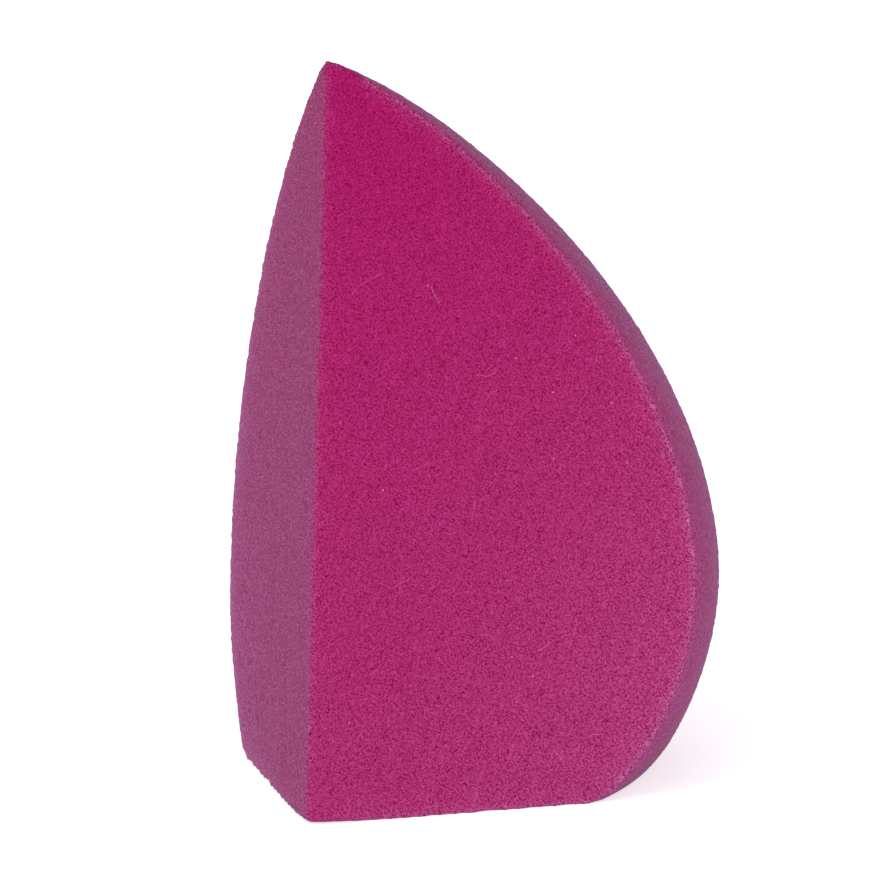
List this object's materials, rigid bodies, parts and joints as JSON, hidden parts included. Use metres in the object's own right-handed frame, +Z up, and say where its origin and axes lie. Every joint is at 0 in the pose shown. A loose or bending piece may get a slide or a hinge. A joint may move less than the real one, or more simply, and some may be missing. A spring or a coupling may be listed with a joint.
{
  "type": "makeup sponge",
  "caption": "Fine-cell foam makeup sponge: a teardrop with a flat base, cut by flat faces that meet in a leaning front edge.",
  "frame": {"origin": "centre of the bounding box's bottom face, on the flat base", "axes": "+Z up to the tip, -Y towards the front edge between the two cut faces, +X to the side"},
  "size_m": [0.051, 0.0392, 0.06],
  "materials": {
    "foam": "matte"
  },
  "bodies": {
    "root": {"foam_body": "foam"}
  },
  "joints": []
}
